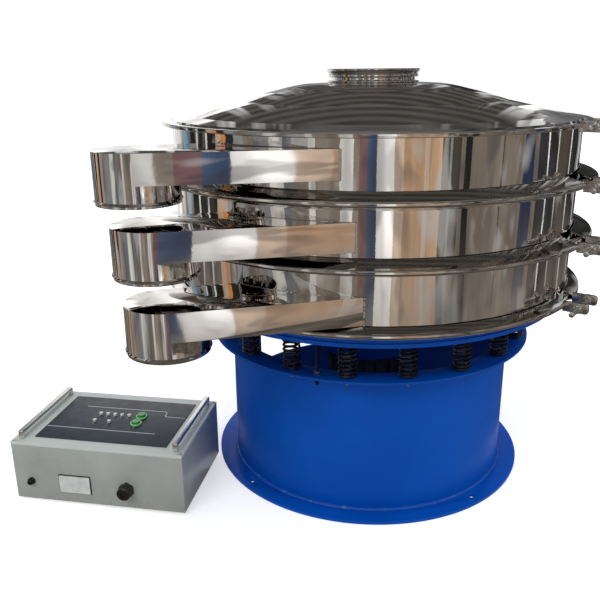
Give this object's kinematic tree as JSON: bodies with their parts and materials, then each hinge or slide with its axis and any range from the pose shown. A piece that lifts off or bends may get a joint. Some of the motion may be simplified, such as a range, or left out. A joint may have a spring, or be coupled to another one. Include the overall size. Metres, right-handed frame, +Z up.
{
  "type": "vibrating sieve",
  "caption": "Round vibrating sieve in polished stainless steel on a blue sprung base, with tangential outlet spouts, clamped decks, a domed lid and an ultrasonic generator box beside it.",
  "frame": {"origin": "centre of the foot flange's underside, on the sieve's vertical axis at floor level", "axes": "+Z up the sieve's axis; the middle outlet spout points along -X; the ring clamps' bolts are at the front right, towards +X and -Y"},
  "size_m": [1.4884, 1.0898, 1.026],
  "materials": {
    "blue_paint": "smooth gloss paint",
    "spring_steel": "black enamel",
    "zinc_steel": "zinc-plated",
    "dark_steel": "blackened thread",
    "polished_stainless": "mirror-polished stainless steel",
    "wire_mesh": "woven stainless wire",
    "gasket_rubber": "pale silicone rubber",
    "motor_paint": "dark machine paint",
    "bearing_steel": "ground steel",
    "cast_weight": "raw cast iron",
    "light_aluminium": "light grey-green coated aluminium",
    "slate_panel": "dark slate front foil",
    "lamp_lens": "tinted lens",
    "bezel_chrome": "bright ring",
    "green_button": "gloss green cap",
    "black_plastic": "black nylon"
  },
  "bodies": {
    "base": {"foot_flange": "blue_paint", "base_shell": "blue_paint", "top_ring": "blue_paint", "springs": "spring_steel", "spring_seats": "zinc_steel", "transit_rods": "dark_steel"},
    "vibrating_body": {"vibrating_plate": "blue_paint", "plate_rim_ring": "blue_paint", "lower_frame": "polished_stainless", "middle_frame": "polished_stainless", "upper_frame": "polished_stainless", "lower_spout": "polished_stainless", "middle_spout": "polished_stainless", "upper_spout": "polished_stainless", "discharge_dome": "polished_stainless", "bottom_gasket": "gasket_rubber", "lid_gasket": "gasket_rubber", "lower_screen_gasket": "gasket_rubber", "upper_screen_gasket": "gasket_rubber", "lower_screen_ring": "polished_stainless", "upper_screen_ring": "polished_stainless", "lower_screen_mesh": "wire_mesh", "upper_screen_mesh": "wire_mesh", "lower_resonator": "polished_stainless", "upper_resonator": "polished_stainless", "bottom_clamp_ring": "polished_stainless", "lower_clamp_ring": "polished_stainless", "upper_clamp_ring": "polished_stainless", "lid_clamp_ring": "polished_stainless", "clamp_bolts": "zinc_steel", "lid": "polished_stainless", "inlet_collar": "polished_stainless", "motor_mount": "blue_paint", "motor_housing": "motor_paint", "lower_end_shield": "motor_paint", "upper_end_shield": "motor_paint", "motor_bearings": "bearing_steel", "stator": "bearing_steel", "motor_bolts": "zinc_steel", "terminal_box": "motor_paint"},
    "rotor": {"motor_shaft": "bearing_steel", "rotor_core": "bearing_steel", "upper_weight": "cast_weight", "lower_weight": "cast_weight", "shaft_nuts": "zinc_steel"},
    "trim_weight": {"adjustable_weight": "cast_weight"},
    "generator": {"generator_case": "light_aluminium", "generator_cover": "light_aluminium", "generator_panel": "slate_panel", "generator_handles": "light_aluminium", "indicator_lamps": "lamp_lens", "button_bezels": "bezel_chrome", "generator_glands": "black_plastic", "generator_feet": "black_plastic"},
    "start_push": {"start_button": "green_button"},
    "stop_push": {"stop_button": "green_button"}
  },
  "joints": [
    {"name": "body_bounce", "type": "slide", "parent": "base", "child": "vibrating_body", "axis": [0, 0, 1], "range_m": [-0.005, 0.005], "stiffness_N_per_m": 400000, "springref_m": 0.00609, "deforming": ["springs"]},
    {"name": "rotor_spin", "type": "hinge", "parent": "vibrating_body", "child": "rotor", "pos_m": [0, 0, 0.295], "axis": [0, 0, 1], "continuous": true},
    {"name": "weight_setting", "type": "hinge", "parent": "rotor", "child": "trim_weight", "pos_m": [0, 0, 0.137], "axis": [0, 0, 1], "range_deg": [0, 90]},
    {"name": "generator_lift", "type": "slide", "parent": "base", "child": "generator", "axis": [0, 0, 1], "range_m": [0, 0.15]},
    {"name": "start_press", "type": "slide", "parent": "generator", "child": "start_push", "axis": [0, 0, -1], "range_m": [0, 0.0025], "stiffness_N_per_m": 400, "springref_m": -0.001},
    {"name": "stop_press", "type": "slide", "parent": "generator", "child": "stop_push", "axis": [0, 0, -1], "range_m": [0, 0.0025], "stiffness_N_per_m": 400, "springref_m": -0.001}
  ]
}
